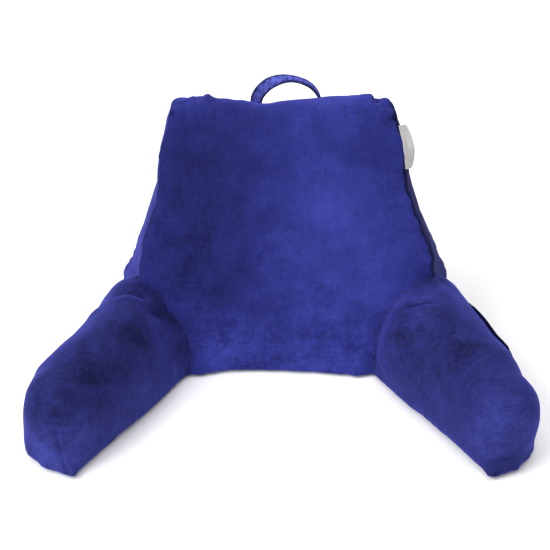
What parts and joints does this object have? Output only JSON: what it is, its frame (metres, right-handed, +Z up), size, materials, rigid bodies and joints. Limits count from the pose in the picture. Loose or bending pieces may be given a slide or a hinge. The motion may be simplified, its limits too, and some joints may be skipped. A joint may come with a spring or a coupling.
{
  "type": "reading pillow",
  "caption": "Wedge-shaped reading pillow in plush velour with a leaning back cushion, splayed arm cushions, a carrying loop, a bare side tab and an arm pocket.",
  "frame": {"origin": "middle of the bounding box's base, on the surface that the pillow stands on", "axes": "+Z up, the reader sits towards -Y, +X is the picture's right, which is the reader's left hand"},
  "size_m": [0.6302, 0.4096, 0.3413],
  "materials": {
    "velour": "short-pile royal blue velour",
    "tape": "matt pale grey woven tape"
  },
  "bodies": {
    "root": {"back": "velour", "arm_left": "velour", "arm_right": "velour", "handle": "velour", "label_tab": "tape", "pocket": "velour"}
  },
  "joints": []
}
